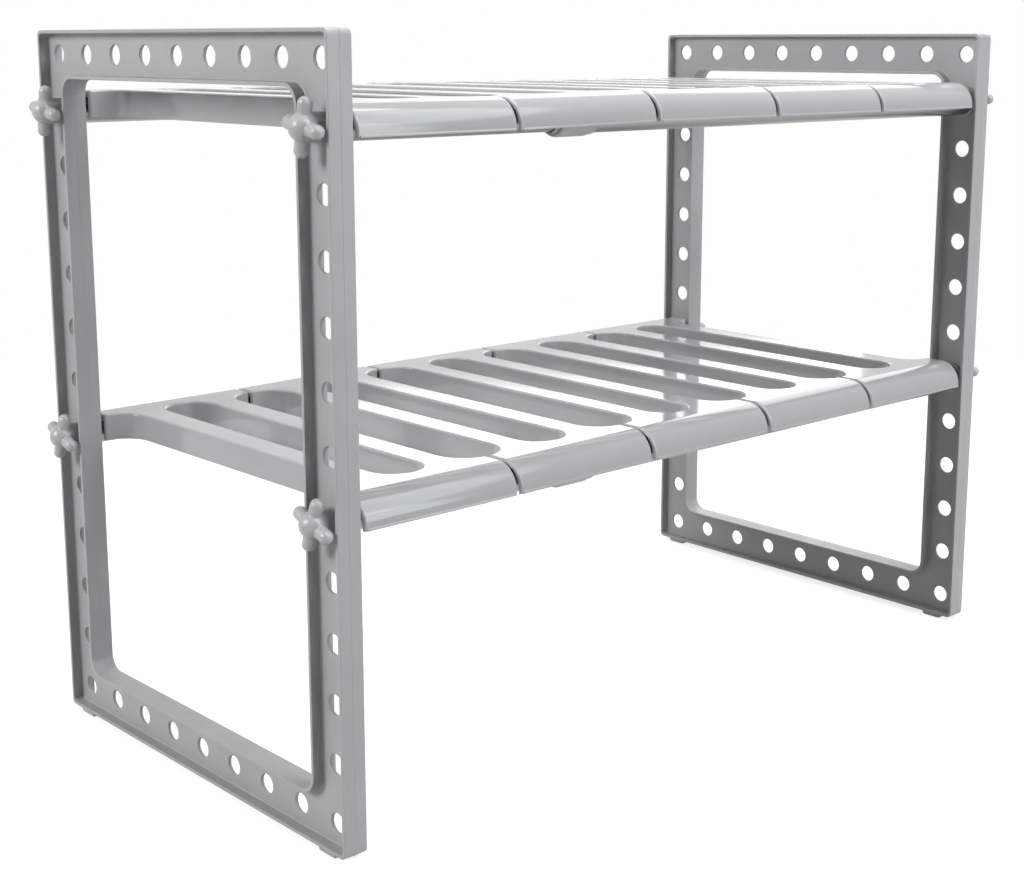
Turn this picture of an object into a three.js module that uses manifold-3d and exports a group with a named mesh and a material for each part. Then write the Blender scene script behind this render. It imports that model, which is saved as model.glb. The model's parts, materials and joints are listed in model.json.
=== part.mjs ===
// Two-tier expandable countertop shelf: two perforated end frames, four telescopic rails
// and ten slatted panels that lie on the rails. Eight cross knobs hold the rails to the frames.
// Millimetres, +Z up. The origin is on the floor, under the middle of the closed shelf.
// +X is to the right and -Y is to the front.

import * as THREE from 'three';
import { mergeVertices } from 'three/addons/utils/BufferGeometryUtils.js';
import Module from 'manifold-3d';

const wasm = await Module();
wasm.setup();

// Driving dimensions: clearances
const RUNNING_GAP = 0.3;
const SEAT_GAP = 0.2;
const COLLAR_GAP = 1.2;
const CHANNEL_GAP = 1.2;

// Driving dimensions: end frames
const HOLE_PITCH = 29;
const HOLES_HIGH = 13;
const HOLES_DEEP = 9;
const HOLE_DIAMETER = 10;
const FRAME_THICKNESS = 13;
const WEB_THICKNESS = 2.2;
const FLANGE_THICKNESS = 2;
const OUTER_CORNER_RADIUS = 3;
const WINDOW_CORNER_RADIUS = 8;
const FOOT_LENGTH = 15;
const FOOT_WIDTH = 11;
const FOOT_HEIGHT = 2.5;
const FOOT_SLOPE = 1.5;
const FOOT_INSET = 8;

// Driving dimensions: shelf heights, as hole rows counted from the bottom row
const LOWER_ROW = 5;
const UPPER_ROW = 11;

// Driving dimensions: rails, collars and end plugs
const OUTER_TUBE_DIAMETER = 16;
const OUTER_TUBE_LENGTH = 348;
const TUBE_WALL = 1;
const TUBE_END_ROOM = 6.5;
const COLLAR_WALL = 1.1;
const COLLAR_LENGTH = 26;
const COLLAR_LIP = 3;
const COLLAR_CHAMFER = 0.7;
const COLLAR_OPENING = 122;
const PLUG_RIM = 1.3;
const PLUG_FLANGE = 2;
const PLUG_LENGTH = 18;

// Driving dimensions: shelf panels
const PANEL_COUNT = 5;
const PANEL_WIDTH = 93.6;
const PANEL_GAP = 0.5;
const END_GAP = 1.6;
const PANEL_WALL = 1.4;
const SLOT_WIDTH = 28;
const BAR_WIDTH = 16.4;
const BULLNOSE_DEPTH = 13.5;
const BULLNOSE_DROP = 13.5;
const SKIRT_DEPTH = 1.8;
const SADDLE_RISE = 3.7;
const WALL_LIFT = 1.2;

// Driving dimensions: cross knobs
const SHANK_DIAMETER = 6.4;
const SHANK_LENGTH = 14;
const HUB_DIAMETER = 13.2;
const ARM_SPAN = 26.8;
const ARM_DIAMETER = 6.6;
const ARM_CLEARANCE = 0.8;
const UPPER_KNOB_TURN = 4;
const LOWER_KNOB_TURN = 17;

// Facets per curve
const TUBE_SIDES = 12;
const HOLE_SIDES = 10;
const KNOB_SIDES = 12;
const ARM_SIDES = 8;
const ARM_CAP_STEPS = 2;
const CORNER_STEPS = 3;
const BULLNOSE_STEPS = 5;
const SLOT_STEPS = 4;
const DOME_STEPS = 3;

// Overshoot of a cutting solid past the faces that it cuts
const OVERCUT = 1;

// Frame sizes
const outerRadius = OUTER_TUBE_DIAMETER / 2;
const memberWidth = OUTER_TUBE_DIAMETER + 2 * (PLUG_RIM + CHANNEL_GAP + FLANGE_THICKNESS);
const frameDepth = (HOLES_DEEP - 1) * HOLE_PITCH + memberWidth;
const frameHeight = (HOLES_HIGH - 1) * HOLE_PITCH + memberWidth;
const windowDepth = frameDepth - 2 * memberWidth;
const windowHeight = frameHeight - 2 * memberWidth;
const frameCentreZ = FOOT_HEIGHT + frameHeight / 2;

// Places along X, from the row of panels out to the frames
const panelPitch = PANEL_WIDTH + PANEL_GAP;
const rowLength = PANEL_COUNT * panelPitch - PANEL_GAP;
const frameInnerFace = rowLength / 2 + END_GAP;
const webX = frameInnerFace + FRAME_THICKNESS / 2;
const plugFace = webX - WEB_THICKNESS / 2 - SEAT_GAP;
const tubeEnd = plugFace - PLUG_FLANGE - SEAT_GAP;

// Rail sizes and places
const railY = (HOLES_DEEP - 1) / 2 * HOLE_PITCH;
const tubeBore = outerRadius - TUBE_WALL;
const innerRadius = tubeBore - RUNNING_GAP;
const innerBore = innerRadius - TUBE_WALL;
const outerTubeLeft = tubeEnd - OUTER_TUBE_LENGTH;
const innerTubeRight = tubeEnd - PLUG_LENGTH - TUBE_END_ROOM;
const collarLeft = outerTubeLeft - SEAT_GAP - COLLAR_LIP;
const collarRadius = outerRadius + RUNNING_GAP + COLLAR_WALL;
const collarTop = collarRadius * Math.cos(THREE.MathUtils.degToRad(COLLAR_OPENING / 2));
const plugBore = SHANK_DIAMETER / 2 + RUNNING_GAP;
const plugFlangeRadius = outerRadius + PLUG_RIM;

// Panel sizes, with heights counted from the axis of the outer tube that the panel lies on
const saddle = outerRadius + RUNNING_GAP;
const panelTop = saddle + SADDLE_RISE;
const bullnoseBase = panelTop - BULLNOSE_DROP;
const panelBottom = bullnoseBase - SKIRT_DEPTH;
const notchRadius = collarRadius + COLLAR_GAP;
const panelDepth = 2 * (railY + notchRadius + PANEL_WALL);
const slotReach = railY - notchRadius - PANEL_WALL;
const recess = (PANEL_WIDTH - SLOT_WIDTH) / 2 - BAR_WIDTH;

// Knob places, counted outwards from the middle of the frame's web
const armPlane = FRAME_THICKNESS / 2 + ARM_CLEARANCE + ARM_DIAMETER / 2;
const hubBase = WEB_THICKNESS / 2 + RUNNING_GAP;

// Height of a row of holes
function rowHeight(row) {
  return FOOT_HEIGHT + memberWidth / 2 + row * HOLE_PITCH;
}

// Points along an arc of a circle or an ellipse, both ends included
function arc(centre, radii, from, to, steps) {
  const points = [];
  for (let i = 0; i <= steps; i += 1) {
    const angle = from + (to - from) * i / steps;
    const x = centre[0] + radii[0] * Math.cos(angle);
    const y = centre[1] + radii[1] * Math.sin(angle);
    points.push(new THREE.Vector2(x, y));
  }
  return points;
}

function circle(centre, radius, sides) {
  return arc(centre, [radius, radius], 0, 2 * Math.PI, sides).slice(0, -1);
}

function rectangle(width, height) {
  const corners = [[1, 1], [-1, 1], [-1, -1], [1, -1]];
  return corners.map(([x, y]) => new THREE.Vector2(x * width / 2, y * height / 2));
}

function roundedRectangle(width, height, radius) {
  const quarter = Math.PI / 2;
  return rectangle(width - 2 * radius, height - 2 * radius).flatMap((corner, i) => (
    arc([corner.x, corner.y], [radius, radius], i * quarter, (i + 1) * quarter, CORNER_STEPS)
  ));
}

function shapeWithHoles(outline, holes = []) {
  const shape = new THREE.Shape(outline);
  shape.holes = holes.map((points) => new THREE.Path(points));
  return shape;
}

// Prism between two heights
function extrudeAlongZ(shape, from, to) {
  const geometry = new THREE.ExtrudeGeometry(shape, { depth: to - from, bevelEnabled: false });
  return geometry.translate(0, 0, from);
}

// Prism along X of a shape drawn in Y and Z
function extrudeAlongX(shape, from, to) {
  const turn = new THREE.Matrix4().makeBasis(
    new THREE.Vector3(0, 1, 0),
    new THREE.Vector3(0, 0, 1),
    new THREE.Vector3(1, 0, 0),
  );
  return extrudeAlongZ(shape, from, to).applyMatrix4(turn);
}

// Body turned about the X axis, from a profile of [radius, x] points that runs
// towards +X on its outside
function revolveAboutX(profile, sides) {
  const points = profile.map(([radius, x]) => new THREE.Vector2(radius, x));
  return new THREE.LatheGeometry(points, sides).rotateZ(-Math.PI / 2);
}

// Closed geometry to a solid for joining and cutting
function solid(geometry) {
  const bare = geometry.clone();
  bare.deleteAttribute('normal');
  bare.deleteAttribute('uv');
  const merged = mergeVertices(bare);
  const index = merged.index.array;
  const triangles = [];
  for (let i = 0; i < index.length; i += 3) {
    const [a, b, c] = index.slice(i, i + 3);
    if (a !== b && b !== c && c !== a) {
      triangles.push(a, b, c);
    }
  }
  return new wasm.Manifold(new wasm.Mesh({
    numProp: 3,
    vertProperties: new Float32Array(merged.attributes.position.array),
    triVerts: new Uint32Array(triangles),
  }));
}

// Solid back to a geometry
function geometryOf(body) {
  const mesh = body.getMesh();
  const geometry = new THREE.BufferGeometry();
  geometry.setAttribute('position', new THREE.BufferAttribute(mesh.vertProperties, 3));
  geometry.setIndex(new THREE.BufferAttribute(mesh.triVerts, 1));
  geometry.computeVertexNormals();
  return geometry;
}

// End frame: a thin web full of holes, with a flange along its outer edge and another round
// its window, both standing out on either face, and two foot pads under it
function frameGeometry() {
  const half = FRAME_THICKNESS / 2;
  const flange = FLANGE_THICKNESS;
  const outerEdge = roundedRectangle(frameDepth, frameHeight, OUTER_CORNER_RADIUS);
  const channelOuter = roundedRectangle(
    frameDepth - 2 * flange,
    frameHeight - 2 * flange,
    OUTER_CORNER_RADIUS - flange / 2,
  );
  const channelInner = roundedRectangle(
    windowDepth + 2 * flange,
    windowHeight + 2 * flange,
    WINDOW_CORNER_RADIUS + flange,
  );
  const window = roundedRectangle(windowDepth, windowHeight, WINDOW_CORNER_RADIUS);

  const outerFlange = extrudeAlongX(shapeWithHoles(outerEdge, [channelOuter]), -half, half);
  const windowFlange = extrudeAlongX(shapeWithHoles(channelInner, [window]), -half, half);
  let frame = solid(outerFlange).add(solid(windowFlange)).add(solid(webGeometry()));
  for (const end of [-1, 1]) {
    frame = frame.add(solid(footGeometry(end)));
  }
  return geometryOf(frame);
}

// Web of the end frame, which reaches to the middle of both flanges
function webGeometry() {
  const outline = rectangle(frameDepth - FLANGE_THICKNESS, frameHeight - FLANGE_THICKNESS);
  const opening = roundedRectangle(
    windowDepth + FLANGE_THICKNESS,
    windowHeight + FLANGE_THICKNESS,
    WINDOW_CORNER_RADIUS + FLANGE_THICKNESS / 2,
  );
  const holes = [];
  for (let row = 0; row < HOLES_HIGH; row += 1) {
    for (let column = 0; column < HOLES_DEEP; column += 1) {
      const onEdge = row % (HOLES_HIGH - 1) === 0 || column % (HOLES_DEEP - 1) === 0;
      if (onEdge) {
        const y = (column - (HOLES_DEEP - 1) / 2) * HOLE_PITCH;
        const z = (row - (HOLES_HIGH - 1) / 2) * HOLE_PITCH;
        holes.push(circle([y, z], HOLE_DIAMETER / 2, HOLE_SIDES));
      }
    }
  }
  const web = shapeWithHoles(outline, [opening, ...holes]);
  return extrudeAlongX(web, -WEB_THICKNESS / 2, WEB_THICKNESS / 2);
}

// Foot pad near one end of the frame's lower edge, with sloping ends
function footGeometry(end) {
  const middle = end * (frameDepth / 2 - FOOT_INSET - FOOT_LENGTH / 2);
  const floor = -frameHeight / 2 - FOOT_HEIGHT;
  const root = -frameHeight / 2 + FLANGE_THICKNESS / 2;
  const corners = [
    [middle - FOOT_LENGTH / 2 + FOOT_SLOPE, floor],
    [middle + FOOT_LENGTH / 2 - FOOT_SLOPE, floor],
    [middle + FOOT_LENGTH / 2, root],
    [middle - FOOT_LENGTH / 2, root],
  ];
  const section = shapeWithHoles(corners.map(([y, z]) => new THREE.Vector2(y, z)));
  return extrudeAlongX(section, -FOOT_WIDTH / 2, FOOT_WIDTH / 2);
}

// Rail tube along X
function tubeGeometry(radius, bore, from, to) {
  const ring = shapeWithHoles(circle([0, 0], radius, TUBE_SIDES), [circle([0, 0], bore, TUBE_SIDES)]);
  return extrudeAlongX(ring, from, to);
}

// Guide collar on the open end of an outer tube. Its lip guides the inner tube, and it is open
// at the top by an angle in degrees, so that the panels pass over it.
function collarGeometry() {
  const lipBore = innerRadius + RUNNING_GAP;
  const tubeSeat = outerRadius + RUNNING_GAP;
  const right = collarLeft + COLLAR_LENGTH;
  const sleeve = revolveAboutX([
    [lipBore, collarLeft],
    [collarRadius - COLLAR_CHAMFER, collarLeft],
    [collarRadius, collarLeft + 2 * COLLAR_CHAMFER],
    [collarRadius, right],
    [tubeSeat, right],
    [tubeSeat, collarLeft + COLLAR_LIP],
    [lipBore, collarLeft + COLLAR_LIP],
    [lipBore, collarLeft],
  ], TUBE_SIDES);
  const above = rectangle(2 * collarRadius + OVERCUT, 2 * collarRadius);
  const cut = extrudeAlongX(shapeWithHoles(above), collarLeft - OVERCUT, right + OVERCUT);
  cut.translate(0, 0, collarTop + collarRadius);
  return geometryOf(solid(sleeve).subtract(solid(cut)));
}

// End plug of a rail at the right, with a flange that meets the frame's web and a bore for the
// knob's shank
function plugGeometry(tubeInside) {
  const shankRadius = tubeInside - RUNNING_GAP;
  const flangeFace = plugFace - PLUG_FLANGE;
  const inner = flangeFace - PLUG_LENGTH;
  return revolveAboutX([
    [plugBore, inner],
    [shankRadius, inner],
    [shankRadius, flangeFace],
    [plugFlangeRadius, flangeFace],
    [plugFlangeRadius, plugFace],
    [plugBore, plugFace],
    [plugBore, inner],
  ], TUBE_SIDES);
}

// Section of a panel across the rails: flat top, rounded front and back, upright skirts.
// An inset gives the section of the hollow under it.
function panelSection(inset, bottom) {
  const flat = panelDepth / 2 - BULLNOSE_DEPTH;
  const radii = [BULLNOSE_DEPTH - inset, BULLNOSE_DROP - inset];
  const skirt = panelDepth / 2 - inset;
  return shapeWithHoles([
    new THREE.Vector2(-skirt, bottom),
    ...arc([-flat, bullnoseBase], radii, Math.PI, Math.PI / 2, BULLNOSE_STEPS),
    ...arc([flat, bullnoseBase], radii, Math.PI / 2, 0, BULLNOSE_STEPS),
    new THREE.Vector2(skirt, bottom),
  ]);
}

// Plan of a panel: a round-ended slot in the middle and half a slot along each side, which
// makes a whole one with the next panel. An inset gives the plan of the hollow under it.
function panelPlan(inset) {
  const side = PANEL_WIDTH / 2 - inset;
  const past = panelDepth / 2 + OVERCUT;
  const recessRadius = recess + inset;
  const recessCentre = slotReach - recess;
  const opening = Math.acos(inset / recessRadius);
  const radii = [recessRadius, recessRadius];
  const rightEdge = [
    new THREE.Vector2(side, -past),
    ...arc([PANEL_WIDTH / 2, -recessCentre], radii, opening - Math.PI, -Math.PI, SLOT_STEPS),
    ...arc([PANEL_WIDTH / 2, recessCentre], radii, Math.PI, Math.PI - opening, SLOT_STEPS),
    new THREE.Vector2(side, past),
  ];
  const leftEdge = rightEdge.map((point) => new THREE.Vector2(-point.x, point.y)).reverse();

  const slotRadius = SLOT_WIDTH / 2 + inset;
  const slotCentre = slotReach - SLOT_WIDTH / 2;
  const slot = [
    ...arc([0, slotCentre], [slotRadius, slotRadius], 0, Math.PI, 2 * SLOT_STEPS),
    ...arc([0, -slotCentre], [slotRadius, slotRadius], Math.PI, 2 * Math.PI, 2 * SLOT_STEPS),
  ];
  return shapeWithHoles([...rightEdge, ...leftEdge], [slot]);
}

// Notch through a panel's end wall: its top sits on the rail and its sides clear the collar
function notchGeometry() {
  const height = saddle - panelBottom + OVERCUT;
  const section = shapeWithHoles(rectangle(2 * notchRadius, height));
  const notch = extrudeAlongX(section, -PANEL_WALL - OVERCUT, PANEL_WALL + OVERCUT);
  return notch.translate(0, 0, saddle - height / 2);
}

// Shelf panel: a thin-walled tray upside down, with walls down round its slot and its sides
function panelGeometry() {
  const half = PANEL_WIDTH / 2;
  const below = panelBottom - OVERCUT;
  const above = panelTop + OVERCUT;
  const block = solid(extrudeAlongX(panelSection(0, panelBottom), -half, half));
  const outline = solid(extrudeAlongZ(panelPlan(0), below, above));
  const insideSection = panelSection(PANEL_WALL, below);
  const inside = solid(extrudeAlongX(insideSection, -half - OVERCUT, half + OVERCUT));
  const hollowOutline = solid(extrudeAlongZ(panelPlan(PANEL_WALL), below - OVERCUT, above));

  const trimHeight = WALL_LIFT + OVERCUT;
  const trimShape = shapeWithHoles(rectangle(panelDepth - 2 * PANEL_WALL, trimHeight));
  const trim = extrudeAlongX(trimShape, -half - OVERCUT, half + OVERCUT);
  trim.translate(0, 0, panelBottom + WALL_LIFT - trimHeight / 2);

  let panel = block.intersect(outline);
  panel = panel.subtract(inside.intersect(hollowOutline));
  panel = panel.subtract(solid(trim));
  for (const end of [-1, 1]) {
    for (const rail of [-1, 1]) {
      const notch = notchGeometry().translate(end * half, rail * railY, 0);
      panel = panel.subtract(solid(notch).intersect(inside));
    }
  }
  return geometryOf(panel);
}

// Cross knob that faces +X, with its place on the axis counted from the middle of the web
function knobGeometry() {
  const hubRadius = HUB_DIAMETER / 2;
  const dome = arc([0, armPlane], [hubRadius, hubRadius], 0, Math.PI / 2, DOME_STEPS);
  const spindle = revolveAboutX([
    [0, -SHANK_LENGTH],
    [SHANK_DIAMETER / 2, -SHANK_LENGTH],
    [SHANK_DIAMETER / 2, hubBase],
    [hubRadius, hubBase],
    ...dome.slice(0, -1).map((point) => [point.x, point.y]),
    [0, armPlane + hubRadius],
  ], KNOB_SIDES);
  let knob = solid(spindle);
  for (const turn of [0, Math.PI / 2]) {
    const bar = new THREE.CapsuleGeometry(
      ARM_DIAMETER / 2,
      ARM_SPAN - ARM_DIAMETER,
      ARM_CAP_STEPS,
      ARM_SIDES,
    );
    bar.rotateX(turn).translate(armPlane, 0, 0);
    knob = knob.add(solid(bar));
  }
  return geometryOf(knob);
}

function framePlastic() {
  return new THREE.MeshStandardMaterial({ color: '#9c9ca0', roughness: 0.45, metalness: 0 });
}

function panelPlastic() {
  return new THREE.MeshStandardMaterial({ color: '#b6b7ba', roughness: 0.3, metalness: 0 });
}

function knobPlastic() {
  return new THREE.MeshStandardMaterial({ color: '#a6a7a9', roughness: 0.4, metalness: 0 });
}

function plugPlastic() {
  return new THREE.MeshStandardMaterial({ color: '#a0a0a3', roughness: 0.5, metalness: 0 });
}

function railSteel() {
  return new THREE.MeshStandardMaterial({ color: '#b9babb', roughness: 0.35, metalness: 1 });
}

function namedMesh(name, geometry, material) {
  const mesh = new THREE.Mesh(geometry, material);
  mesh.name = name;
  return mesh;
}

// Two end frames
function addFrames(shelf) {
  const geometry = frameGeometry();
  for (const [name, side] of [['left', -1], ['right', 1]]) {
    const frame = namedMesh(`${name}_frame`, geometry, framePlastic());
    frame.position.set(side * webX, 0, frameCentreZ);
    shelf.add(frame);
  }
}

// One telescopic rail: inner tube from the left, outer tube from the right, collar and plugs
function railGroup(place) {
  const rail = new THREE.Group();
  const innerTube = tubeGeometry(innerRadius, innerBore, -tubeEnd, innerTubeRight);
  const outerTube = tubeGeometry(outerRadius, tubeBore, outerTubeLeft, tubeEnd);
  const leftPlug = plugGeometry(innerBore).rotateZ(Math.PI);
  rail.add(namedMesh(`inner_rail_${place}`, innerTube, railSteel()));
  rail.add(namedMesh(`outer_rail_${place}`, outerTube, railSteel()));
  rail.add(namedMesh(`rail_collar_${place}`, collarGeometry(), plugPlastic()));
  rail.add(namedMesh(`left_plug_${place}`, leftPlug, plugPlastic()));
  rail.add(namedMesh(`right_plug_${place}`, plugGeometry(tubeBore), plugPlastic()));
  return rail;
}

// How much lower a panel's end wall lies where it meets the inner tube instead of the outer one
function saddleDrop(wallRight) {
  return wallRight < collarLeft ? outerRadius - innerRadius : 0;
}

// Row of panels on one pair of rails. A panel whose left end lies past the outer tube tips down
// onto the inner one.
function panelRow(tier, geometry) {
  const row = new THREE.Group();
  for (let i = 0; i < PANEL_COUNT; i += 1) {
    const left = -rowLength / 2 + i * panelPitch;
    const leftDrop = saddleDrop(left + PANEL_WALL);
    const rightDrop = saddleDrop(left + PANEL_WIDTH);
    const panel = namedMesh(`${tier}_panel_${i + 1}`, geometry, panelPlastic());
    panel.position.set(left + PANEL_WIDTH / 2, 0, -(leftDrop + rightDrop) / 2);
    panel.rotation.y = Math.asin((rightDrop - leftDrop) / (PANEL_WIDTH - PANEL_WALL));
    row.add(panel);
  }
  return row;
}

// Knob outside one frame, turned about its own axis by an angle in degrees
function placedKnob(name, geometry, side, turn) {
  const knob = namedMesh(name, geometry, knobPlastic());
  knob.position.x = side * webX;
  knob.rotation.x = THREE.MathUtils.degToRad(turn);
  knob.rotation.z = side > 0 ? 0 : Math.PI;
  return knob;
}

// Rails, panels and knobs of one shelf
function addShelf(shelf, tier, row, knobTurn, panel, knob) {
  const level = new THREE.Group();
  level.position.z = rowHeight(row);
  level.add(panelRow(tier, panel));
  for (const [edge, toBack] of [['front', -1], ['back', 1]]) {
    const place = `${tier}_${edge}`;
    const rail = railGroup(place);
    rail.add(placedKnob(`left_knob_${place}`, knob, -1, knobTurn));
    rail.add(placedKnob(`right_knob_${place}`, knob, 1, -knobTurn));
    rail.position.y = toBack * railY;
    level.add(rail);
  }
  shelf.add(level);
}

function buildShelf() {
  const shelf = new THREE.Group();
  const panel = panelGeometry();
  const knob = knobGeometry();
  addFrames(shelf);
  addShelf(shelf, 'lower', LOWER_ROW, LOWER_KNOB_TURN, panel, knob);
  addShelf(shelf, 'upper', UPPER_ROW, UPPER_KNOB_TURN, panel, knob);
  return shelf;
}

export default buildShelf();
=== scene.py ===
import json
import math

import bmesh
import bpy
import numpy as np
from mathutils import Matrix, Vector


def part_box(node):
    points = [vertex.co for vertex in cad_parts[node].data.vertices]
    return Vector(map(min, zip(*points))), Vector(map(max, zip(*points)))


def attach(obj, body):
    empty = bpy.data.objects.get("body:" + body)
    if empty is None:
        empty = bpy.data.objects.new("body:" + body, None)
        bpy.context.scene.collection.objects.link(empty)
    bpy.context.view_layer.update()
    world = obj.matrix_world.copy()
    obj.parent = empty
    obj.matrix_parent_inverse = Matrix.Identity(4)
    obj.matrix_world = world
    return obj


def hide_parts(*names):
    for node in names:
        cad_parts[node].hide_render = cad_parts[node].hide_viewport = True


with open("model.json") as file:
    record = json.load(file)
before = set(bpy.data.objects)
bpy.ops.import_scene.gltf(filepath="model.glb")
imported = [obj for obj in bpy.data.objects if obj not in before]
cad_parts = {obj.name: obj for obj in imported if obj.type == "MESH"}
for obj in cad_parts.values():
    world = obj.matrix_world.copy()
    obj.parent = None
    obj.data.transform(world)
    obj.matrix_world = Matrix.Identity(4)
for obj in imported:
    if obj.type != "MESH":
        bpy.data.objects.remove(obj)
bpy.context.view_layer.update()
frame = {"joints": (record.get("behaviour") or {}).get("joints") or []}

# Units: metres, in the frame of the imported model
MM = 0.001
X, Y, Z = range(3)

# Sizes of the end frames
HOLE_PITCH = 29 * MM
HOLES_HIGH = 13
HOLES_DEEP = 9
HOLE_RADIUS = 5 * MM
HOLE_ROUND = 0.45 * MM
MEMBER_WIDTH = 25 * MM
WEB_HALF = 0.9 * MM
FLANGE = 2 * MM
FLANGE_DRAFT = 0.1 * MM
RIM_ROUND = 0.4 * MM
ROOT_FILLET = 0.6 * MM
PARTING_RIDGE = 0.1 * MM
OUTER_CORNER = 3 * MM
CHANNEL_CORNER = 2 * MM
WINDOW_CORNER = 8 * MM
FOOT_HEIGHT = 2.5 * MM
FOOT_LENGTH = 15 * MM
FOOT_WIDTH = 11 * MM
FOOT_INSET = 8 * MM
FOOT_SLOPE = 1.5 * MM
FOOT_ROUND = 0.8 * MM

# Sizes of the panels. Notch and saddle: half width and height over the rail's axis.
PANEL_COUNT = 5
PANEL_WALL = 1.4 * MM
BULLNOSE = 13.5 * MM
SLOT_RADIUS = 14 * MM
RECESS_RADIUS = 16.4 * MM
SLOT_REACH = 104 * MM
SLOT_ROUND = 1.3 * MM
END_ROUND = 1.8 * MM
SEAM_GAP = 0.5 * MM
SKIRT_BEAD = 0.4 * MM
BEAD_HEIGHT = 1.2 * MM
WALL_LIFT = 1.2 * MM
NOTCH_HALF = 10.6 * MM
SADDLE = 8.3 * MM

# Sizes of the rails, collars and plugs. Collar top: height of its cut over the rail's axis.
TUBE_WALL = 1 * MM
TUBE_ROUND = 0.25 * MM
COLLAR_LIP = 3 * MM
COLLAR_TAIL = 4.2 * MM
COLLAR_SKIN = 0.5 * MM
COLLAR_CHAMFER = 0.7 * MM
COLLAR_TOP = 4.56 * MM
RUNNING_GAP = 0.3 * MM
PLUG_FLANGE = 2 * MM
PLUG_BORE = 3.5 * MM
PLUG_ROUND = 0.4 * MM

# Sizes of the cross knobs, counted outwards from the middle of the web
SHANK_RADIUS = 3.2 * MM
SHANK_LENGTH = 14 * MM
HUB_RADIUS = 6.6 * MM
HUB_BASE = 1.4 * MM
ARM_PLANE = 10.6 * MM
ARM_SPAN = 26.8 * MM
ARM_RADIUS = 3.3 * MM
KNOB_VOXEL = 0.3 * MM
KNOB_SMOOTHING = 1
KNOB_TURN = {"upper": math.radians(10), "lower": math.radians(20)}

# Steps per curve
CORNER_STEPS = 8
RIM_STEPS = 4
FILLET_STEPS = 5
HOLE_SIDES = 40
BULLNOSE_STEPS = 16
SLOT_STEPS = 24
TUBE_SIDES = 64
KNOB_SIDES = 32
DOME_STEPS = 10
ROUND_STEPS = 4

# Angles in degrees: how far a hole's lip turns outwards, and where a dome ends in a small flat
LIP_TURN = 75
DOME_END = 4

# Cutting bodies run this far past what they cut
OVERCUT = 1 * MM
SLOT_OVERCUT = 3 * MM

# Points closer than this to a panel's end belong to it
END_REACH = 0.1 * MM

# Edges shorter than this are slivers, and edges that bend more than this stay sharp
SLIVER = 0.01 * MM
SHARP_ANGLE = math.radians(32)

# Materials: noise scales in cells per metre, depths of the relief, and the part of a noise in use
CLOUD_SCALE = 22
GLOSS_SCALE = 60
WAVE_SCALE = 35
WAVE_DEPTH = 0.3 * MM
GRAIN_SCALE = 2600
GRAIN_DEPTH = 0.05 * MM
LINE_SCALE = 900
LINE_STRETCH = (0.01, 1, 1)
LINE_DEPTH = 0.03 * MM
NOISE_LOW = 0.3
NOISE_MIDDLE = 0.5
NOISE_HIGH = 0.7

# Studio
AMBIENT = 0.05
FLOOR_SIZE = 12
FLOOR_FADE = (0.6, 1.2)
FLOOR_ALBEDO = 0.4
FLOOR_GLOW = 0.78
FLAG_PLACE = (-1.15, -1.15, 1.0)
FLAG_SIZE = (2.4, 2.0, 1)
FLAG_ALBEDO = 0.02
LIGHT_AIM = (0, 0, 0.19)
WARM = (1.0, 0.985, 0.985)
COOL = (0.96, 0.985, 1.0)
BAND_TURN = math.radians(-43)

# Camera, fitted to the photograph: millimetres for the lens and its sensor
LENS = 58.907
SENSOR_WIDTH = 36
SHIFT_X = -0.0274
SHIFT_Y = -0.0732
CAMERA_PLACE = (-0.66706, -0.70577, 0.36868)
CAMERA_FORWARD = (0.66982, 0.71785, -0.18983)
CAMERA_RIGHT = (0.73135, -0.682, 0.0016)

# Sizes read from the frame. Panel heights are counted from the rail's axis.
frame_low, frame_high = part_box("left_frame")
FRAME_HALF = (frame_high.x - frame_low.x) / 2
FRAME_DEPTH = frame_high.y - frame_low.y
FRAME_HEIGHT = frame_high.z - frame_low.z - FOOT_HEIGHT
FOOT_ROOT = -FRAME_HEIGHT / 2 + FLANGE / 2
panel_low, panel_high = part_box("lower_panel_3")
rail_low, rail_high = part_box("outer_rail_lower_front")
RAIL_Y = -(rail_low.y + rail_high.y) / 2
RAIL_Z = (rail_low.z + rail_high.z) / 2
PANEL_HALF = (panel_high.x - panel_low.x) / 2 - SEAM_GAP
PANEL_DEPTH = panel_high.y - panel_low.y
PANEL_TOP = panel_high.z - RAIL_Z
PANEL_BOTTOM = panel_low.z - RAIL_Z


# Outlines

def arc(centre, radius, start, end, steps):
    """Points along an arc, both ends included, with angles in degrees."""
    angles = np.radians(np.linspace(start, end, steps + 1))
    return [(centre[0] + radius * math.cos(a), centre[1] + radius * math.sin(a)) for a in angles]


def stadium(middle, radius, reach):
    """Round-ended slot along Y."""
    centre = reach - radius
    return (
        arc((middle, centre), radius, 0, 180, SLOT_STEPS)
        + arc((middle, -centre), radius, 180, 360, SLOT_STEPS)
    )


def box_outline(low, high):
    """Rectangle between two corners."""
    return [(low[0], low[1]), (high[0], low[1]), (high[0], high[1]), (low[0], high[1])]


# Mesh tools

def add_object(name, data):
    """New object in the scene, of a mesh, lamp or camera."""
    obj = bpy.data.objects.new(name, data)
    bpy.context.scene.collection.objects.link(obj)
    return obj


def finished_mesh(bm, name):
    """Mesh of what was drawn, with its faces turned outwards."""
    bmesh.ops.recalc_face_normals(bm, faces=bm.faces)
    mesh = bpy.data.meshes.new(name)
    bm.to_mesh(mesh)
    bm.free()
    return mesh


def bridge(bm, rings, closed):
    """Quads between neighbouring rings of vertices, and from the last to the first if closed."""
    following = rings[1:] + rings[:1] if closed else rings[1:]
    for first, second in zip(rings, following):
        for i in range(len(first)):
            j = (i + 1) % len(first)
            bm.faces.new((first[i], first[j], second[j], second[i]))


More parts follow.
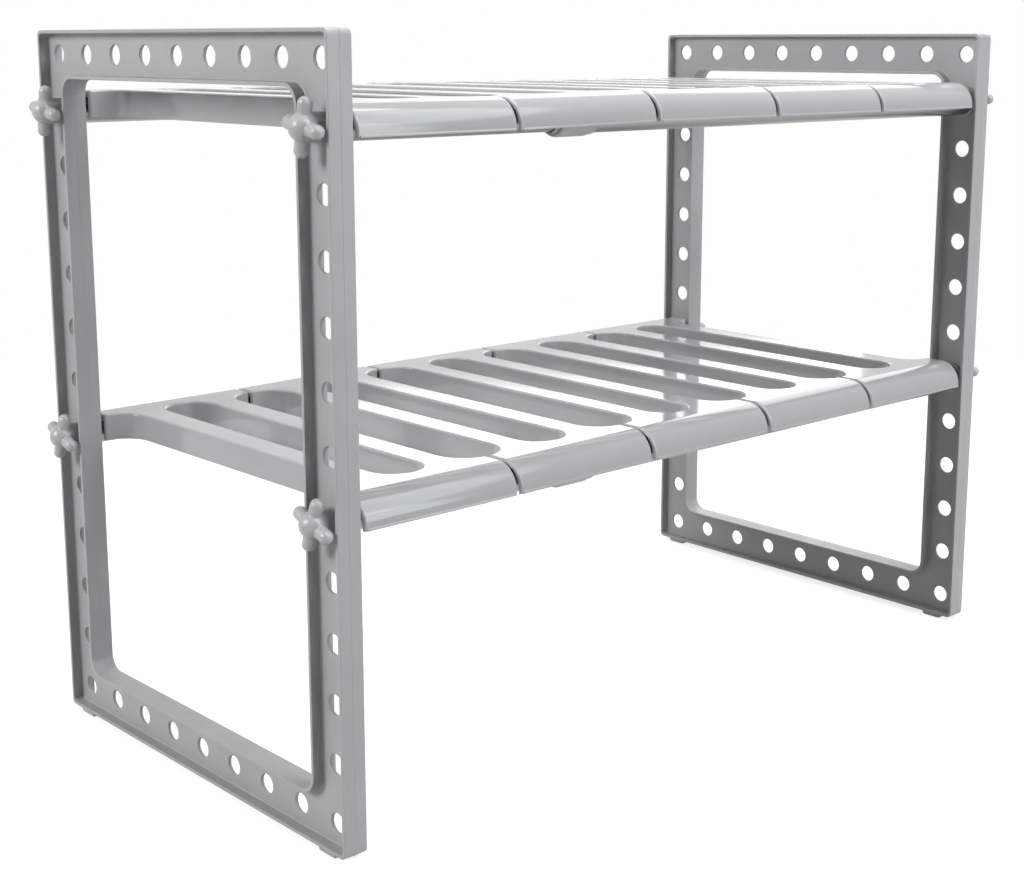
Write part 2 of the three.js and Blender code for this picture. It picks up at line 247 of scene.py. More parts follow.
def add_prism(bm, outline, low, high, axis):
    """Straight body of an outline, along Z from a plan or along X from a section in Y and Z."""
    rings = []
    for level in (low, high):
        if axis == "Z":
            rings.append([bm.verts.new((a, b, level)) for a, b in outline])
        else:
            rings.append([bm.verts.new((level, a, b)) for a, b in outline])
    bridge(bm, rings, closed=False)
    for ring in rings:
        bm.faces.new(ring)


def add_lathe(bm, profile, sides, closed):
    """Body turned about X from (x, radius) points. A closed profile makes a ring."""
    rings = []
    for x, radius in profile:
        ring = arc((0, 0), radius, 0, 360, sides)[:-1]
        rings.append([bm.verts.new((x, a, b)) for a, b in ring])
    bridge(bm, rings, closed)
    if not closed:
        bm.faces.new(rings[0])
        bm.faces.new(rings[-1])


def prism_mesh(section, low, high):
    """Straight body along X, as a mesh of its own."""
    bm = bmesh.new()
    add_prism(bm, section, low, high, "X")
    return finished_mesh(bm, "prism")


def square_mesh(name, size):
    """Flat square, face up."""
    bm = bmesh.new()
    bmesh.ops.create_grid(bm, x_segments=1, y_segments=1, size=size / 2)
    return finished_mesh(bm, name)


def applied(obj):
    """Mesh of an object with its modifiers applied; the object goes."""
    graph = bpy.context.evaluated_depsgraph_get()
    mesh = bpy.data.meshes.new_from_object(obj.evaluated_get(graph))
    bpy.data.objects.remove(obj)
    return mesh


def combined(body, tool, operation):
    """A mesh joined with, cut by or kept inside another."""
    obj = add_object("body", body)
    cutter = add_object("tool", tool)
    change = obj.modifiers.new("change", "BOOLEAN")
    change.operation = operation
    change.solver = "EXACT"
    change.object = cutter
    mesh = applied(obj)
    bpy.data.objects.remove(cutter)
    return mesh


def round_edges(mesh, width_at):
    """Mesh with its sharp edges rounded, each by the width that a rule gives it."""
    bm = bmesh.new()
    bm.from_mesh(mesh)
    weight = bm.edges.layers.float.new("bevel_weight_edge")
    sharp = [e for e in bm.edges if e.calc_face_angle(0) > SHARP_ANGLE]
    widths = [width_at(e) for e in sharp]
    for edge, width in zip(sharp, widths):
        edge[weight] = width / max(widths)
    bm.to_mesh(mesh)
    bm.free()
    obj = add_object("rounded", mesh)
    bevel = obj.modifiers.new("round", "BEVEL")
    bevel.limit_method = "WEIGHT"
    bevel.width = max(widths)
    bevel.segments = ROUND_STEPS
    return applied(obj)


def cleaned(mesh):
    """Mesh without the slivers that cutting leaves."""
    bm = bmesh.new()
    bm.from_mesh(mesh)
    bmesh.ops.remove_doubles(bm, verts=bm.verts, dist=SLIVER)
    bmesh.ops.dissolve_degenerate(bm, edges=bm.edges, dist=SLIVER)
    bm.to_mesh(mesh)
    bm.free()
    return mesh


def smooth_shaded(mesh):
    """Smooth shading that leaves flat faces flat and sharp edges sharp."""
    mesh.shade_smooth()
    mesh.set_sharp_from_angle(angle=SHARP_ANGLE)
    obj = add_object("shaded", mesh)
    weights = obj.modifiers.new("weights", "WEIGHTED_NORMAL")
    weights.keep_sharp = True
    return applied(obj)


# End frame

def corner_radius(inset):
    """Corner radius of the loop at an inset from the frame's outer edge."""
    stations = (0, FLANGE, MEMBER_WIDTH - FLANGE, MEMBER_WIDTH)
    radii = (OUTER_CORNER, CHANNEL_CORNER, WINDOW_CORNER + FLANGE, WINDOW_CORNER)
    return float(np.interp(inset, stations, radii))


def run_stations(holes):
    """Places halfway between the holes of a straight run, clear of the corners."""
    middle = (holes - 1) / 2
    return [(i + 0.5 - middle) * HOLE_PITCH for i in range(1, holes - 2)]


def frame_loop(inset):
    """Rounded rectangle, anticlockwise, inset from the frame's outer edge."""
    radius = corner_radius(inset)
    half_y = FRAME_DEPTH / 2 - inset
    half_z = FRAME_HEIGHT / 2 - inset
    across = run_stations(HOLES_DEEP)
    upward = run_stations(HOLES_HIGH)
    centre_y = half_y - radius
    centre_z = half_z - radius
    return (
        arc((centre_y, centre_z), radius, 0, 90, CORNER_STEPS)
        + [(y, half_z) for y in reversed(across)]
        + arc((-centre_y, centre_z), radius, 90, 180, CORNER_STEPS)
        + [(-half_y, z) for z in reversed(upward)]
        + arc((-centre_y, -centre_z), radius, 180, 270, CORNER_STEPS)
        + [(y, -half_z) for y in across]
        + arc((centre_y, -centre_z), radius, 270, 360, CORNER_STEPS)
        + [(half_y, z) for z in upward]
    )


def half_flange(edge, way):
    """Outer half of one flange's section, from its parting line over the rim to the root."""
    rim = FRAME_HALF - RIM_ROUND
    thick = edge + way * FLANGE
    near = edge + way * FLANGE_DRAFT + way * RIM_ROUND
    far = thick - way * (FLANGE_DRAFT + RIM_ROUND)
    root = (thick + way * ROOT_FILLET, WEB_HALF + ROOT_FILLET)
    rim_start, rim_end, root_start = (180, 0, 180) if way > 0 else (0, 180, 360)
    return (
        [(edge - way * PARTING_RIDGE, 0), (edge, PARTING_RIDGE)]
        + arc((near, rim), RIM_ROUND, rim_start, 90, RIM_STEPS)
        + arc((far, rim), RIM_ROUND, 90, rim_end, RIM_STEPS)
        + arc(root, ROOT_FILLET, root_start, 270, FILLET_STEPS)
    )


def frame_section():
    """Section of the frame's member, as (inset, x) points all round."""
    outer = half_flange(0, 1)
    window = half_flange(MEMBER_WIDTH, -1)
    half = outer + window[::-1]
    return half + [(inset, -x) for inset, x in half[-2:0:-1]]


def hole_cutters():
    """Spools that cut the holes and round their edges."""
    lip_centre = (WEB_HALF - HOLE_ROUND, HOLE_RADIUS + HOLE_ROUND)
    lip = arc(lip_centre, HOLE_ROUND, 270, 270 + LIP_TURN, RIM_STEPS)
    mouth = (WEB_HALF + HOLE_ROUND, lip[-1][1] + HOLE_ROUND)
    half = lip + [mouth]
    profile = [(-x, radius) for x, radius in reversed(half)] + half
    bm = bmesh.new()
    for row in range(HOLES_HIGH):
        for column in range(HOLES_DEEP):
            if row % (HOLES_HIGH - 1) and column % (HOLES_DEEP - 1):
                continue
            y = (column - (HOLES_DEEP - 1) / 2) * HOLE_PITCH
            z = (row - (HOLES_HIGH - 1) / 2) * HOLE_PITCH
            before = len(bm.verts)
            add_lathe(bm, profile, HOLE_SIDES, closed=False)
            bm.verts.ensure_lookup_table()
            bmesh.ops.translate(bm, vec=(0, y, z), verts=bm.verts[before:])
    return finished_mesh(bm, "holes")


def foot_rounding(edge):
    """How far a pad's edge is rounded: not where it lies inside the frame."""
    lowest = min(v.co.z for v in edge.verts)
    return FOOT_ROUND if lowest < FOOT_ROOT else 0


def foot_mesh():
    """Two pads under the frame's lower edge, with sloping ends and rounded edges."""
    floor = -FRAME_HEIGHT / 2 - FOOT_HEIGHT
    reach = FOOT_LENGTH / 2
    bm = bmesh.new()
    for end in (-1, 1):
        middle = end * (FRAME_DEPTH / 2 - FOOT_INSET - FOOT_LENGTH / 2)
        outline = [
            (middle - reach + FOOT_SLOPE, floor),
            (middle + reach - FOOT_SLOPE, floor),
            (middle + reach, FOOT_ROOT),
            (middle - reach, FOOT_ROOT),
        ]
        add_prism(bm, outline, -FOOT_WIDTH / 2, FOOT_WIDTH / 2, "X")
    return round_edges(finished_mesh(bm, "feet"), foot_rounding)


def frame_mesh():
    """I-section ring swept round the frame, with its holes cut and its feet joined on."""
    bm = bmesh.new()
    rings = []
    for inset, x in frame_section():
        rings.append([bm.verts.new((x, y, z)) for y, z in frame_loop(inset)])
    bridge(bm, rings, closed=True)
    ring = finished_mesh(bm, "ring")
    ring = combined(ring, foot_mesh(), "UNION")
    return smooth_shaded(cleaned(combined(ring, hole_cutters(), "DIFFERENCE")))


# Shelf panel

def panel_section(inset, bottom):
    """Section across the rails: flat top, quarter-round front and back, short skirts."""
    flat = PANEL_DEPTH / 2 - BULLNOSE
    base = PANEL_TOP - BULLNOSE
    skirt = PANEL_DEPTH / 2 - inset
    return (
        [(-skirt, bottom)]
        + arc((-flat, base), BULLNOSE - inset, 180, 90, BULLNOSE_STEPS)
        + arc((flat, base), BULLNOSE - inset, 90, 0, BULLNOSE_STEPS)
        + [(skirt, bottom)]
    )


def skirt_beads():
    """Narrow beads along the feet of both skirts."""
    reach = PANEL_HALF - END_ROUND
    top = PANEL_BOTTOM + BEAD_HEIGHT
    bm = bmesh.new()
    for side in (-1, 1):
        skirt = side * PANEL_DEPTH / 2
        edge = skirt + side * SKIRT_BEAD
        root = skirt - side * PANEL_WALL / 2
        outline = [
            (root, PANEL_BOTTOM), (edge, PANEL_BOTTOM), (edge, top - BEAD_HEIGHT / 2),
            (skirt, top), (root, top),
        ]
        add_prism(bm, outline, -reach, reach, "X")
    return finished_mesh(bm, "beads")


def slot_cutters(inset):
    """The slot and the half slots along both sides, widened by an inset."""
    below = PANEL_BOTTOM - SLOT_OVERCUT
    above = PANEL_TOP + SLOT_OVERCUT
    bm = bmesh.new()
    add_prism(bm, stadium(0, SLOT_RADIUS + inset, SLOT_REACH + inset), below, above, "Z")
    for side in (-1, 1):
        recess = stadium(side * PANEL_HALF, RECESS_RADIUS + inset, SLOT_REACH + inset)
        add_prism(bm, recess, below, above, "Z")
    return finished_mesh(bm, "slots")


def panel_notches(inside):
    """Notches in the end walls that sit on the rails, kept inside the panel's skin."""
    bm = bmesh.new()
    depth = PANEL_WALL + OVERCUT
    for end in (-PANEL_HALF, PANEL_HALF):
        for rail in (-RAIL_Y, RAIL_Y):
            low = (rail - NOTCH_HALF, PANEL_BOTTOM - OVERCUT)
            high = (rail + NOTCH_HALF, SADDLE)
            add_prism(bm, box_outline(low, high), end - depth, end + depth, "X")
    return combined(finished_mesh(bm, "notches"), inside, "INTERSECT")


def panel_rounding(edge):
    """How far a panel's edge is rounded: a lot at its ends, a little round the slots, not below."""
    if max(v.co.z for v in edge.verts) < PANEL_BOTTOM + OVERCUT:
        return 0
    at_end = all(abs(abs(v.co.x) - PANEL_HALF) < END_REACH for v in edge.verts)
    return END_ROUND if at_end else SLOT_ROUND


def panel_skin():
    """Outside of a panel: one slot, half a slot along each side, rounded edges and beads."""
    block = prism_mesh(panel_section(0, PANEL_BOTTOM), -PANEL_HALF, PANEL_HALF)
    block = combined(block, slot_cutters(0), "DIFFERENCE")
    block = round_edges(block, panel_rounding)
    return combined(block, skirt_beads(), "UNION")


def panel_hollow(below):
    """Space under a panel's top, clear of the walls round its slots."""
    inner = PANEL_HALF - PANEL_WALL
    hollow = prism_mesh(panel_section(PANEL_WALL, below), -inner, inner)
    return combined(hollow, slot_cutters(PANEL_WALL), "DIFFERENCE")


def panel_mesh():
    """Thin-walled panel, with its inner walls lifted off the skirts' feet and notched for the rails."""
    below = PANEL_BOTTOM - OVERCUT
    past = PANEL_HALF + OVERCUT
    skirt = PANEL_DEPTH / 2 - PANEL_WALL
    trim = box_outline((-skirt, below), (skirt, PANEL_BOTTOM + WALL_LIFT))
    inside = prism_mesh(panel_section(PANEL_WALL, below), -past, past)
    panel = combined(panel_skin(), panel_hollow(below), "DIFFERENCE")
    panel = combined(panel, prism_mesh(trim, -past, past), "DIFFERENCE")
    panel = combined(panel, panel_notches(inside), "DIFFERENCE")
    return smooth_shaded(cleaned(panel))


# Rails, collars and plugs

def ring_profile(left, right, outer, bore, edge):
    """Closed profile of a tube with its four edges broken."""
    return [
        (left + edge, outer), (right - edge, outer), (right, outer - edge),
        (right, bore + edge), (right - edge, bore), (left + edge, bore),
        (left, bore + edge), (left, outer - edge),
    ]


def tube_mesh(length, outer):
    """Round tube along X."""
    bm = bmesh.new()
    profile = ring_profile(-length / 2, length / 2, outer, outer - TUBE_WALL, TUBE_ROUND)
    add_lathe(bm, profile, TUBE_SIDES, closed=True)
    return smooth_shaded(finished_mesh(bm, "tube"))


def collar_mesh(length, outer, tube):
    """Guide collar, open at the top: a thick body, a thin nose that guides the inner tube, and a
    thin tail round the outer one."""
    left, right = -length / 2, length / 2
    seat = tube + RUNNING_GAP
    lip = tube - TUBE_WALL
    step = left + COLLAR_LIP
    start, end = step - COLLAR_SKIN, right - COLLAR_TAIL
    nose, tail = lip + COLLAR_SKIN, seat + COLLAR_SKIN
    bm = bmesh.new()
    add_lathe(bm, [
        (left, lip), (left, nose), (start, nose), (start, outer - COLLAR_CHAMFER),
        (start + 2 * COLLAR_CHAMFER, outer), (end - TUBE_ROUND, outer), (end, outer - TUBE_ROUND),
        (end, tail), (right, tail), (right, seat), (step, seat), (step, lip),
    ], TUBE_SIDES, closed=True)
    ring = finished_mesh(bm, "collar")
    above = box_outline((-2 * outer, COLLAR_TOP), (2 * outer, 2 * outer))
    cut = prism_mesh(above, left - OVERCUT, right + OVERCUT)
    return smooth_shaded(combined(ring, cut, "DIFFERENCE"))


def plug_mesh(length, flange, shank):
    """End plug that points to +X, with its flange at the right and a bore for the knob."""
    face, back = length / 2, -length / 2
    seat = face - PLUG_FLANGE
    bm = bmesh.new()
    add_lathe(bm, [
        (back, PLUG_BORE), (back, shank - PLUG_ROUND), (back + PLUG_ROUND, shank),
        (seat, shank), (seat, flange - PLUG_ROUND), (seat + PLUG_ROUND, flange),
        (face - PLUG_ROUND, flange), (face, flange - PLUG_ROUND),
        (face, PLUG_BORE + PLUG_ROUND), (face - PLUG_ROUND, PLUG_BORE),
    ], TUBE_SIDES, closed=True)
    return smooth_shaded(finished_mesh(bm, "plug"))


# Cross knob

def add_arm_bar(bm, turn_axis):
    """Round-ended bar across the hub, turned from X by a right angle."""
    reach = ARM_SPAN / 2 - ARM_RADIUS
    tip = arc((reach, 0), ARM_RADIUS, 90, DOME_END, DOME_STEPS)
    profile = [(-x, radius) for x, radius in reversed(tip)] + tip
    before = len(bm.verts)
    add_lathe(bm, profile, KNOB_SIDES, closed=False)
    bm.verts.ensure_lookup_table()
    turn = Matrix.Rotation(math.pi / 2, 3, turn_axis)
    bmesh.ops.rotate(bm, cent=(0, 0, 0), matrix=turn, verts=bm.verts[before:])
    bmesh.ops.translate(bm, vec=(ARM_PLANE, 0, 0), verts=bm.verts[before:])


def knob_mesh():
    """Knob that faces +X: shank, hub, dome and four arms, blended where they meet."""
    bm = bmesh.new()
    dome = arc((ARM_PLANE, 0), HUB_RADIUS, 90, DOME_END, DOME_STEPS)
    add_lathe(bm, [
        (-SHANK_LENGTH, SHANK_RADIUS), (HUB_BASE, SHANK_RADIUS), (HUB_BASE, HUB_RADIUS),
    ] + dome, KNOB_SIDES, closed=False)
    for turn_axis in ("Z", "Y"):
        add_arm_bar(bm, turn_axis)
    obj = add_object("knob", finished_mesh(bm, "knob"))
    skin = obj.modifiers.new("skin", "REMESH")
    skin.mode = "VOXEL"
    skin.voxel_size = KNOB_VOXEL
    blend = obj.modifiers.new("blend", "SMOOTH")
    blend.iterations = KNOB_SMOOTHING
    mesh = applied(obj)
    mesh.shade_smooth()
    return mesh


# Materials

def new_material(name):
    """New node material, with its tree and its surface shader."""
    made = bpy.data.materials.new(name)
    made.use_nodes = True
    tree = made.node_tree
    return made, tree, tree.nodes["Principled BSDF"]


def noise(tree, scale, detail, stretch=(1, 1, 1)):
    """Noise in the piece's own coordinates, stretched along its axes."""
    place = tree.nodes.new("ShaderNodeTexCoord")
    mapping = tree.nodes.new("ShaderNodeMapping")
    mapping.inputs["Scale"].default_value = stretch
    made = tree.nodes.new("ShaderNodeTexNoise")
    made.inputs["Scale"].default_value = scale
    made.inputs["Detail"].default_value = detail
    tree.links.new(place.outputs["Object"], mapping.inputs["Vector"])
    tree.links.new(mapping.outputs["Vector"], made.inputs["Vector"])
    return made.outputs["Fac"]


def tinted(tree, value, colour, spread):
    """A colour made darker and lighter by a share, along a noise."""
    made = tree.nodes.new("ShaderNodeValToRGB")
    stops = made.color_ramp.elements
    stops.new(NOISE_MIDDLE)
    places = (NOISE_LOW, NOISE_MIDDLE, NOISE_HIGH)
    shares = (1 - spread, 1, 1 + spread)
    for stop, place, share in zip(stops, places, shares):
        stop.position = place
        stop.color = (*(c * share for c in colour), 1)
    tree.links.new(value, made.inputs["Fac"])
    return made.outputs["Color"]


def span(tree, value, low, high):
    """A noise spread from low to high."""
    made = tree.nodes.new("ShaderNodeMapRange")
    made.inputs["From Min"].default_value = NOISE_LOW
    made.inputs["From Max"].default_value = NOISE_HIGH
    made.inputs["To Min"].default_value = low
    made.inputs["To Max"].default_value = high
    tree.links.new(value, made.inputs["Value"])
    return made.outputs["Result"]


def bump(tree, height, strength, distance, under=None):
    """Relief of a noise, on top of another relief if one is given."""
    made = tree.nodes.new("ShaderNodeBump")
    made.inputs["Strength"].default_value = strength
    made.inputs["Distance"].default_value = distance
    tree.links.new(height, made.inputs["Height"])
    if under is not None:
        tree.links.new(under, made.inputs["Normal"])
    return made.outputs["Normal"]


def plastic(name, colour, spread, roughness, grain, waviness):
    """Moulded plastic: cloudy colour, uneven gloss and a fine grain over slow waves."""
    made, tree, surface = new_material(name)
    clouds = noise(tree, CLOUD_SCALE, detail=4)
    tree.links.new(tinted(tree, clouds, colour, spread), surface.inputs["Base Color"])
    gloss = noise(tree, GLOSS_SCALE, detail=5)
    tree.links.new(span(tree, gloss, *roughness), surface.inputs["Roughness"])
    waves = bump(tree, noise(tree, WAVE_SCALE, detail=1), waviness, WAVE_DEPTH)
    relief = bump(tree, noise(tree, GRAIN_SCALE, detail=2), grain, GRAIN_DEPTH, waves)
    tree.links.new(relief, surface.inputs["Normal"])
    return made


def steel(name, colour, spread, roughness, grain):
    """Drawn steel tube with fine lines along its length."""
    made, tree, surface = new_material(name)
    lines = noise(tree, LINE_SCALE, detail=3, stretch=LINE_STRETCH)
    tree.links.new(tinted(tree, lines, colour, spread), surface.inputs["Base Color"])
    surface.inputs["Metallic"].default_value = 1
    tree.links.new(span(tree, lines, *roughness), surface.inputs["Roughness"])
    tree.links.new(bump(tree, lines, grain, LINE_DEPTH), surface.inputs["Normal"])
    return made


def frame_plastic():
    return plastic(
        "frame plastic", colour=(0.375, 0.37, 0.38), spread=0.05, roughness=(0.36, 0.5),
        grain=0.25, waviness=0.12,
    )


def panel_plastic():
    return plastic(
        "panel plastic", colour=(0.385, 0.38, 0.395), spread=0.03, roughness=(0.06, 0.1),
        grain=0.08, waviness=0.03,
    )


def knob_plastic():
    return plastic(
        "knob plastic", colour=(0.425, 0.42, 0.43), spread=0.04, roughness=(0.24, 0.34),
        grain=0.15, waviness=0.1,
    )


def plug_plastic():
    return plastic(
        "plug plastic", colour=(0.45, 0.445, 0.45), spread=0.05, roughness=(0.35, 0.5),
        grain=0.25, waviness=0.1,
    )


def rail_steel():
    return steel(
        "rail steel", colour=(0.27, 0.27, 0.27), spread=0.12, roughness=(0.28, 0.42), grain=0.2,
    )


# Building the shelf

def place_piece(name, mesh, matrix, body, node):
    """New piece in place of a CAD node, on the node's body."""
    piece = add_object(name, mesh)
    piece.matrix_world = matrix
    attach(piece, body)
    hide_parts(node)


def with_material(mesh, material):
    """Mesh with one material all over."""
    mesh.materials.clear()
    mesh.materials.append(material)
    return mesh


def box_middle(node):
    """Middle of a node's box."""
    low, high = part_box(node)
    return (low + high) / 2


def box_span(node, axis):
    """Length of a node's box along an axis."""
    low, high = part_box(node)
    return high[axis] - low[axis]


def facing(side):
    """Turn that makes a piece drawn towards +X point out of its own end of the shelf."""
    return Matrix.Rotation(math.pi if side == "left" else 0, 4, "Z")


def build_frames(material):
    mesh = with_material(frame_mesh(), material)
    for side in ("left", "right"):
        node = f"{side}_frame"
        middle = box_middle(node)
        middle.z += FOOT_HEIGHT / 2
        matrix = Matrix.Translation(middle)
        place_piece(f"{node}_moulding", mesh, matrix, f"{side}_end", node)


def panel_place(node):
    """Where a panel lies: level on the outer tubes, as panel 3 does, or lower on the inner ones."""
    tier = node.split("_")[0]
    level_low, level_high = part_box(f"{tier}_panel_3")
    low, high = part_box(node)
    left_drop = level_low.z - low.z
    right_drop = level_high.z - high.z
    width = level_high.x - level_low.x
    rail_z = level_low.z - PANEL_BOTTOM
    middle = Vector(((low.x + high.x) / 2, 0, rail_z - (left_drop + right_drop) / 2))
    tilt = math.asin((right_drop - left_drop) / width)
    return Matrix.Translation(middle) @ Matrix.Rotation(tilt, 4, "Y")


def build_panels(material):
    mesh = with_material(panel_mesh(), material)
    for tier in ("lower", "upper"):
        for number in range(1, PANEL_COUNT + 1):
            node = f"{tier}_panel_{number}"
            place_piece(f"{node}_moulding", mesh, panel_place(node), node, node)


def build_tubes(place, material):
    for kind, body in (("inner", "left_end"), ("outer", "right_end")):
        node = f"{kind}_rail_{place}"
        mesh = with_material(tube_mesh(box_span(node, X), box_span(node, Z) / 2), material)
        matrix = Matrix.Translation(box_middle(node))
        place_piece(f"{node}_tube", mesh, matrix, body, node)


def build_collar(place, material):
    node = f"rail_collar_{place}"
    tube = f"outer_rail_{place}"
    mesh = collar_mesh(box_span(node, X), box_span(node, Y) / 2, box_span(tube, Z) / 2)
    middle = box_middle(node)
    middle.z = box_middle(tube).z
    matrix = Matrix.Translation(middle)
    place_piece(f"{node}_clip", with_material(mesh, material), matrix, "right_end", node)


def build_plugs(place, material):
    for side, tube in (("left", f"inner_rail_{place}"), ("right", f"outer_rail_{place}")):
        node = f"{side}_plug_{place}"
        shank = box_span(tube, Z) / 2 - TUBE_WALL - RUNNING_GAP
        mesh = with_material(plug_mesh(box_span(node, X), box_span(node, Z) / 2, shank), material)
        matrix = Matrix.Translation(box_middle(node)) @ facing(side)
        place_piece(f"{node}_insert", mesh, matrix, f"{side}_end", node)


def build_knobs(material):
    mesh = with_material(knob_mesh(), material)
    for joint in frame["joints"]:
        if joint["type"] != "hinge":
            continue
        node = joint["child"]
        side, _, tier, _ = node.split("_")
        turn = Matrix.Rotation(KNOB_TURN[tier] * (1 if side == "left" else -1), 4, "X")
        matrix = Matrix.Translation(joint["pos_m"]) @ turn @ facing(side)
        place_piece(f"{node}_moulding", mesh, matrix, node, node)


def build_shelf():
    """All pieces; the four telescopic rails come last."""
    build_frames(frame_plastic())
    build_panels(panel_plastic())
    build_knobs(knob_plastic())
    plug_material = plug_plastic()
    tube_material = rail_steel()
    for tier in ("lower", "upper"):
        for edge in ("front", "back"):
            place = f"{tier}_{edge}"
            build_tubes(place, tube_material)
            build_collar(place, plug_material)
            build_plugs(place, plug_material)


# Studio

def background_mix(tree, seen, other):
    """Mixes a shader seen by camera, mirror and glass rays with one for all other rays."""
    path = tree.nodes.new("ShaderNodeLightPath")
    either = tree.nodes.new("ShaderNodeMath")
    either.operation = "MAXIMUM"
    any_ray = tree.nodes.new("ShaderNodeMath")
    any_ray.operation = "MAXIMUM"
    mix = tree.nodes.new("ShaderNodeMixShader")
    tree.links.new(path.outputs["Is Camera Ray"], either.inputs[0])
    tree.links.new(path.outputs["Is Glossy Ray"], either.inputs[1])
    tree.links.new(either.outputs[0], any_ray.inputs[0])
    tree.links.new(path.outputs["Is Transmission Ray"], any_ray.inputs[1])
    tree.links.new(any_ray.outputs[0], mix.inputs["Fac"])
    tree.links.new(other, mix.inputs[1])
    tree.links.new(seen, mix.inputs[2])
    return mix.outputs[0]


def build_world():
    """White surroundings, with a plain ambient light on the object."""
    world = bpy.data.worlds.new("studio")
    bpy.context.scene.world = world
    world.use_nodes = True
    tree = world.node_tree
    tree.nodes.clear()
    shaders = []
    for strength in (1, AMBIENT):
        shader = tree.nodes.new("ShaderNodeBackground")
        shader.inputs["Color"].default_value = (1, 1, 1, 1)
        shader.inputs["Strength"].default_value = strength
        shaders.append(shader.outputs[0])
    output = tree.nodes.new("ShaderNodeOutputWorld")
    tree.links.new(background_mix(tree, *shaders), output.inputs["Surface"])


def distance_fade(tree, near, far):
    """Goes from 0 to 1 between two distances from the middle of the floor."""
    place = tree.nodes.new("ShaderNodeTexCoord")
    length = tree.nodes.new("ShaderNodeVectorMath")
    length.operation = "LENGTH"
    fade = tree.nodes.new("ShaderNodeMapRange")
    fade.interpolation_type = "SMOOTHSTEP"
    fade.inputs["From Min"].default_value = near
    fade.inputs["From Max"].default_value = far
    tree.links.new(place.outputs["Object"], length.inputs[0])
    tree.links.new(length.outputs["Value"], fade.inputs["Value"])
    return fade.outputs["Result"]


def floor_material():
    """White floor that takes the object's shadow and turns to plain white further out."""
    made = bpy.data.materials.new("floor white")
    made.use_nodes = True
    tree = made.node_tree
    tree.nodes.clear()
    diffuse = tree.nodes.new("ShaderNodeBsdfDiffuse")
    diffuse.inputs["Color"].default_value = (FLOOR_ALBEDO, FLOOR_ALBEDO, FLOOR_ALBEDO, 1)
    lights = []
    for strength in (FLOOR_GLOW, 1):
        light = tree.nodes.new("ShaderNodeEmission")
        light.inputs["Strength"].default_value = strength
        lights.append(light.outputs[0])
    near = tree.nodes.new("ShaderNodeAddShader")
    tree.links.new(diffuse.outputs[0], near.inputs[0])
    tree.links.new(lights[0], near.inputs[1])
    seen = tree.nodes.new("ShaderNodeMixShader")
    tree.links.new(distance_fade(tree, *FLOOR_FADE), seen.inputs["Fac"])
    tree.links.new(near.outputs[0], seen.inputs[1])
    tree.links.new(lights[1], seen.inputs[2])
    output = tree.nodes.new("ShaderNodeOutputMaterial")
    surface = background_mix(tree, seen.outputs[0], diffuse.outputs[0])
    tree.links.new(surface, output.inputs["Surface"])
    return made


def build_floor():
    floor = add_object("floor", square_mesh("floor", FLOOR_SIZE))
    floor.data.materials.append(floor_material())


def flag_material():
    """Matt black."""
    made, _, surface = new_material("flag black")
    surface.inputs["Base Color"].default_value = (FLAG_ALBEDO, FLAG_ALBEDO, FLAG_ALBEDO, 1)
    surface.inputs["Specular IOR Level"].default_value = 0
    return made


def build_flag():
    """Dark screen on the camera's side, which keeps light off the faces turned to it."""
    flag = add_object("flag", square_mesh("flag", 1))
    flag.data.materials.append(flag_material())
    flag.scale = FLAG_SIZE
    flag.location = FLAG_PLACE
    inward = Vector((-FLAG_PLACE[X], -FLAG_PLACE[Y], 0))
    flag.rotation_euler = inward.to_track_quat("Z", "Y").to_euler()
    flag.visible_camera = False


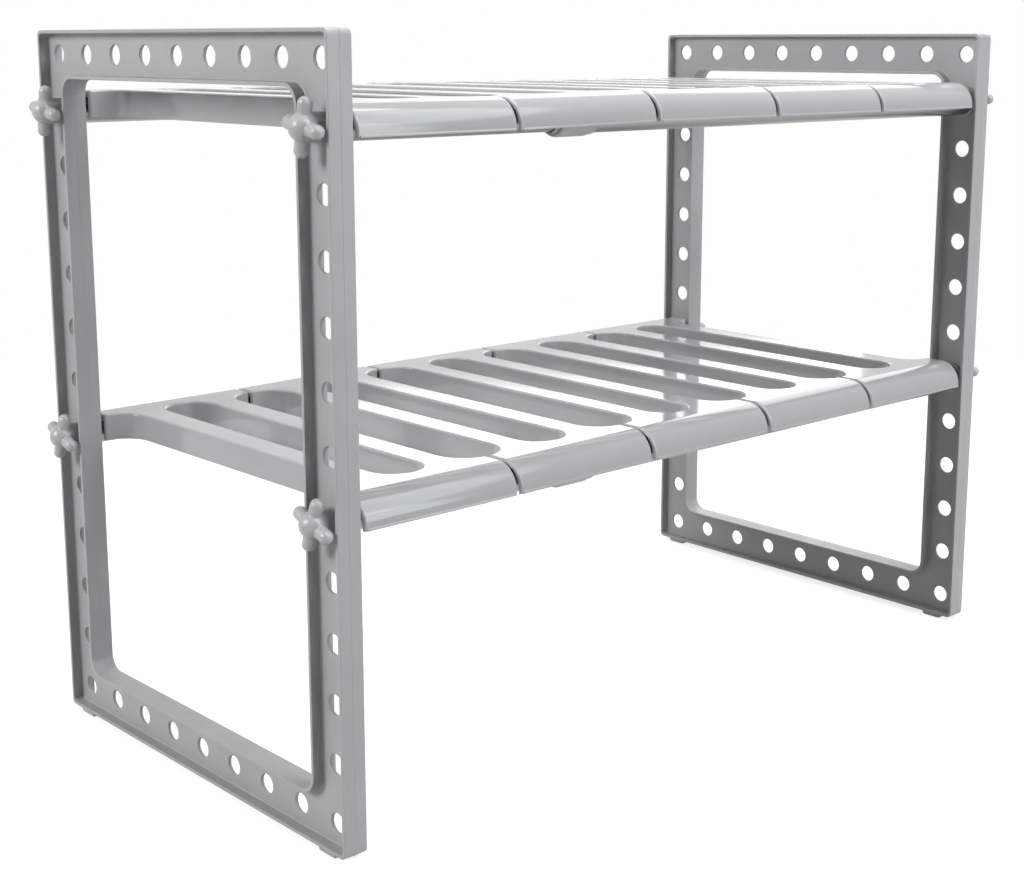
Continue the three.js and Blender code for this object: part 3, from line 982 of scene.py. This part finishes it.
def add_softbox(name, place, size, power, colour, aim=LIGHT_AIM):
    """Soft rectangular lamp, turned to what it aims at."""
    lamp = bpy.data.lights.new(name, "AREA")
    lamp.shape = "RECTANGLE"
    lamp.size, lamp.size_y = size
    lamp.energy = power
    lamp.color = colour
    obj = add_object(name, lamp)
    obj.location = place
    obj.rotation_euler = (Vector(aim) - Vector(place)).to_track_quat("-Z", "Y").to_euler()
    obj.visible_camera = False
    return obj


def build_lights():
    """Softboxes round the shelf, and two lamps that show only as gloss on it."""
    add_softbox("left_softbox", place=(-2.2, 0.45, 1.25), size=(0.95, 0.95), power=42, colour=WARM)
    add_softbox("far_left_softbox", place=(-2.2, 1.9, 1.0), size=(1.1, 1.1), power=5, colour=WARM)
    add_softbox("front_softbox", place=(0.9, -2.5, 0.85), size=(1.4, 1.4), power=25, colour=COOL)
    add_softbox("high_front_softbox", place=(0.4, -2.0, 2.0), size=(1.6, 1.4), power=41, colour=COOL)
    add_softbox("right_softbox", place=(1.75, 1.0, 1.35), size=(1.4, 1.0), power=9, colour=COOL)
    add_softbox("top_softbox", place=(0.35, 0.1, 2.2), size=(1.2, 1.4), power=34, colour=WARM)
    add_softbox(
        "back_softbox", place=(2.72, 2.5, 1.15), size=(2.06, 0.54), power=8.6, colour=WARM,
        aim=(2.72, 0, 1.15),
    )
    crown = add_softbox("crown_gloss", place=(-0.3, -1.0, 1.9), size=(0.8, 0.8), power=8, colour=WARM)
    band = add_softbox(
        "band_gloss", place=(1.22, -1.15, 1.68), size=(0.3, 1.9), power=5, colour=COOL,
        aim=(-0.19, -0.12, 0.25),
    )
    band.rotation_euler.rotate_axis("Z", BAND_TURN)
    for lamp in (crown, band):
        lamp.visible_diffuse = False


def build_camera():
    """Camera at the photograph's place and angle."""
    data = bpy.data.cameras.new("camera")
    data.sensor_width = SENSOR_WIDTH
    data.lens = LENS
    data.shift_x = SHIFT_X
    data.shift_y = SHIFT_Y
    camera = add_object("camera", data)
    forward = Vector(CAMERA_FORWARD).normalized()
    right = Vector(CAMERA_RIGHT).normalized()
    up = right.cross(forward)
    turn = Matrix((right, up, -forward)).transposed().to_4x4()
    camera.matrix_world = Matrix.Translation(CAMERA_PLACE) @ turn
    bpy.context.scene.camera = camera


build_shelf()
build_world()
build_floor()
build_flag()
build_lights()
build_camera()
bpy.context.scene.view_settings.view_transform = "Standard"
